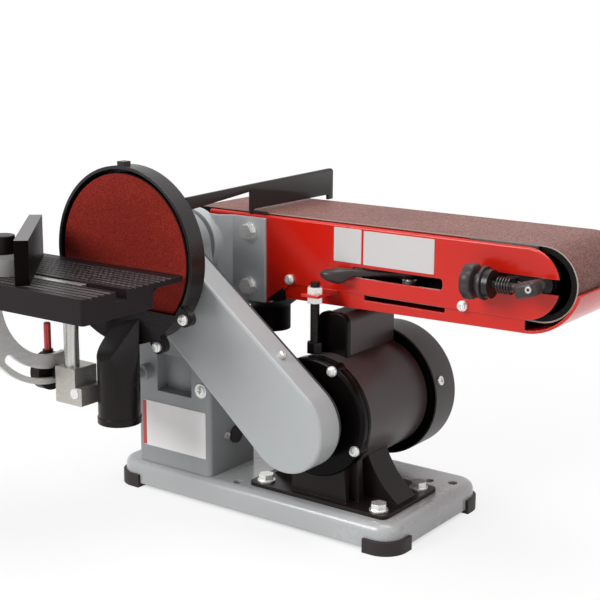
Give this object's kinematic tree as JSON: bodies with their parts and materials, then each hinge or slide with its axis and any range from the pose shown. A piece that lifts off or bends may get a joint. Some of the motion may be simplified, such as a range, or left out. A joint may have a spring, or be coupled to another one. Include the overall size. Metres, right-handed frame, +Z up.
{
  "type": "belt and disc sander",
  "caption": "Bench belt and disc sander: a belt arm that tilts upright, a sanding disc with a tilting mitre table, and a belt-driven motor on a pressed steel base.",
  "frame": {"origin": "centre of the overall box at the bottom, under the rubber feet", "axes": "+X along the belt arm towards the idler end, +Y backwards from the disc, +Z up"},
  "size_m": [0.542, 0.3766, 0.3305],
  "materials": {
    "grey_paint": "smooth satin paint",
    "bracket_grey": "smooth satin paint",
    "red_paint": "gloss paint",
    "black_paint": "satin paint",
    "cast_black": "painted light alloy casting",
    "aluminium": "turned",
    "steel": "plain",
    "zinc": "bright zinc",
    "dark_steel": "blackened",
    "core": "laminated sheet with windings",
    "abrasive": "coated grit",
    "black_plastic": "moulded",
    "green_plastic": "moulded",
    "red_plastic": "moulded",
    "rubber": "moulded",
    "pedestal_grey": "painted light alloy casting"
  },
  "bodies": {
    "base": {"base_plate": "grey_paint", "corner_feet": "rubber", "pedestal": "pedestal_grey", "switch_body": "black_plastic", "motor_foot": "cast_black", "motor_bolts": "zinc", "motor_barrel": "black_paint", "motor_front_bell": "cast_black", "motor_rear_bell": "cast_black", "motor_stator": "core", "fan_cowl": "black_paint", "capacitor_box": "black_paint", "capacitor_cap": "black_paint", "ball_bearings": "steel", "drive_belt": "rubber", "pulley_cover": "grey_paint", "cover_back_plate": "grey_paint", "casing_screws": "zinc", "disc_guard": "black_paint", "dust_shroud": "black_plastic", "shroud_screws": "zinc", "table_bar": "steel"},
    "arbor": {"arbor_shaft": "steel", "disc_plate": "aluminium", "abrasive_disc": "abrasive", "arbor_pulley": "aluminium", "drive_drum": "aluminium"},
    "rotor": {"motor_rotor": "core", "cooling_fan": "black_plastic", "motor_pulley": "aluminium"},
    "start": {"start_button": "green_plastic"},
    "stop": {"stop_button": "red_plastic"},
    "arm": {"arm_bracket": "bracket_grey", "arm_bolts": "zinc", "arm_frame": "red_paint", "arm_guard": "red_paint", "sanding_belt": "abrasive", "belt_dust_port": "black_plastic", "work_stop": "black_paint", "rest_bolt": "dark_steel", "rest_nuts": "zinc", "lever_pin": "steel"},
    "lever": {"tension_lever": "dark_steel"},
    "fork": {"idler_fork": "dark_steel", "idler_axle": "steel", "tracking_block": "dark_steel", "tracking_spring": "dark_steel"},
    "idler": {"idler_drum": "aluminium"},
    "tracking": {"tracking_knob": "black_plastic"},
    "carriage": {"table_block": "steel", "table_post": "steel", "clamp_bolt": "steel"},
    "clamp": {"tilt_lever": "black_plastic", "tilt_lever_grip": "red_plastic"},
    "table": {"sanding_table": "cast_black", "table_trunnion": "steel", "table_pivot_pin": "steel"},
    "mitre": {"mitre_bar": "steel"},
    "mitre_fence": {"mitre_head": "cast_black"},
    "mitre_grip": {"mitre_knob": "black_plastic"}
  },
  "joints": [
    {"name": "arbor_spin", "type": "hinge", "parent": "base", "child": "arbor", "pos_m": [-0.12204, -0.06133, 0.245], "axis": [0, 1, 0], "continuous": true},
    {"name": "motor_spin", "type": "hinge", "parent": "base", "child": "rotor", "pos_m": [0.03946, -0.06133, 0.1055], "axis": [0, 1, 0], "continuous": true},
    {"name": "start_press", "type": "slide", "parent": "base", "child": "start", "axis": [1, 0, 0], "range_m": [0, 0.004], "stiffness_N_per_m": 500},
    {"name": "stop_press", "type": "slide", "parent": "base", "child": "stop", "axis": [1, 0, 0], "range_m": [0, 0.004], "stiffness_N_per_m": 500},
    {"name": "arm_tilt", "type": "hinge", "parent": "base", "child": "arm", "pos_m": [-0.12204, -0.06133, 0.245], "axis": [0, -1, 0], "range_deg": [0, 90]},
    {"name": "tension_swing", "type": "hinge", "parent": "arm", "child": "lever", "pos_m": [0.09896, 0.07317, 0.234], "axis": [0, 0, 1], "range_deg": [0, 114]},
    {"name": "idler_slide", "type": "slide", "parent": "arm", "child": "fork", "axis": [1, 0, 0], "range_m": [-0.00575, 0]},
    {"name": "idler_spin", "type": "hinge", "parent": "fork", "child": "idler", "pos_m": [0.23474, -0.06133, 0.245], "axis": [0, 1, 0], "continuous": true},
    {"name": "tracking_turn", "type": "hinge", "parent": "fork", "child": "tracking", "pos_m": [0.19796, 0.03267, 0.245], "axis": [1, 0, 0], "range_deg": [-180, 180]},
    {"name": "table_slide", "type": "slide", "parent": "base", "child": "carriage", "axis": [0, 1, 0], "range_m": [-0.018, 0]},
    {"name": "clamp_turn", "type": "hinge", "parent": "carriage", "child": "clamp", "pos_m": [-0.12204, -0.09133, 0.1335], "axis": [1, 0, 0], "range_deg": [0, 60]},
    {"name": "table_tilt", "type": "hinge", "parent": "carriage", "child": "table", "pos_m": [-0.12204, -0.09133, 0.215], "axis": [1, 0, 0], "range_deg": [0, 45]},
    {"name": "mitre_slide", "type": "slide", "parent": "table", "child": "mitre", "axis": [1, 0, 0], "range_m": [-0.025, 0.04]},
    {"name": "mitre_swivel", "type": "hinge", "parent": "mitre", "child": "mitre_fence", "pos_m": [-0.18804, -0.14333, 0.245], "axis": [0, 0, 1], "range_deg": [-102, 18]},
    {"name": "mitre_clamp", "type": "hinge", "parent": "mitre", "child": "mitre_grip", "pos_m": [-0.18804, -0.14333, 0.245], "axis": [0, 0, 1], "range_deg": [-180, 180]}
  ],
  "couplings": [
    {"joint": "motor_spin", "follows": "arbor_spin", "ratio": 1},
    {"joint": "idler_spin", "follows": "arbor_spin", "ratio": 1},
    {"joint": "tension_swing", "follows": "idler_slide", "rad_per_m": -333.33}
  ]
}
